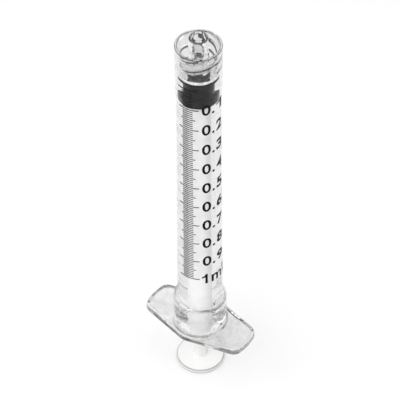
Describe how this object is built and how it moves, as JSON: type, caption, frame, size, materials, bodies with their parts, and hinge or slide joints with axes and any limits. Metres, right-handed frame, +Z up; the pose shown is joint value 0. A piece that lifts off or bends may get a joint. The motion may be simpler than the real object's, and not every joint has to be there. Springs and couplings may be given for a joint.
{
  "type": "luer lock syringe",
  "caption": "Clear syringe with finger flange, printed scale, rubber stopper on a round plunger rod, and a luer tip inside a threaded lock collar.",
  "frame": {"origin": "middle of the thumb disc's flat underside, on the syringe's axis", "axes": "+Z runs up the syringe's axis from the thumb disc to the luer tip; X runs along the long way of the finger flange"},
  "size_m": [0.0262, 0.0138, 0.0969],
  "materials": {
    "clear_plastic": "clear moulded polypropylene, smooth and glossy",
    "dark_rubber": "dark grey rubber with a film of silicone oil",
    "white_plastic": "milky white moulded polypropylene"
  },
  "bodies": {
    "barrel": {"barrel": "clear_plastic"},
    "stopper": {"stopper": "dark_rubber"},
    "plunger_rod": {"plunger_rod": "white_plastic"}
  },
  "joints": [
    {"name": "plunger_slide", "type": "slide", "parent": "barrel", "child": "stopper", "axis": [0, 0, -1], "range_m": [0, 0.0613]},
    {"name": "rod_turn", "type": "hinge", "parent": "stopper", "child": "plunger_rod", "pos_m": [0, 0, 0.0825], "axis": [0, 0, 1], "continuous": true}
  ]
}
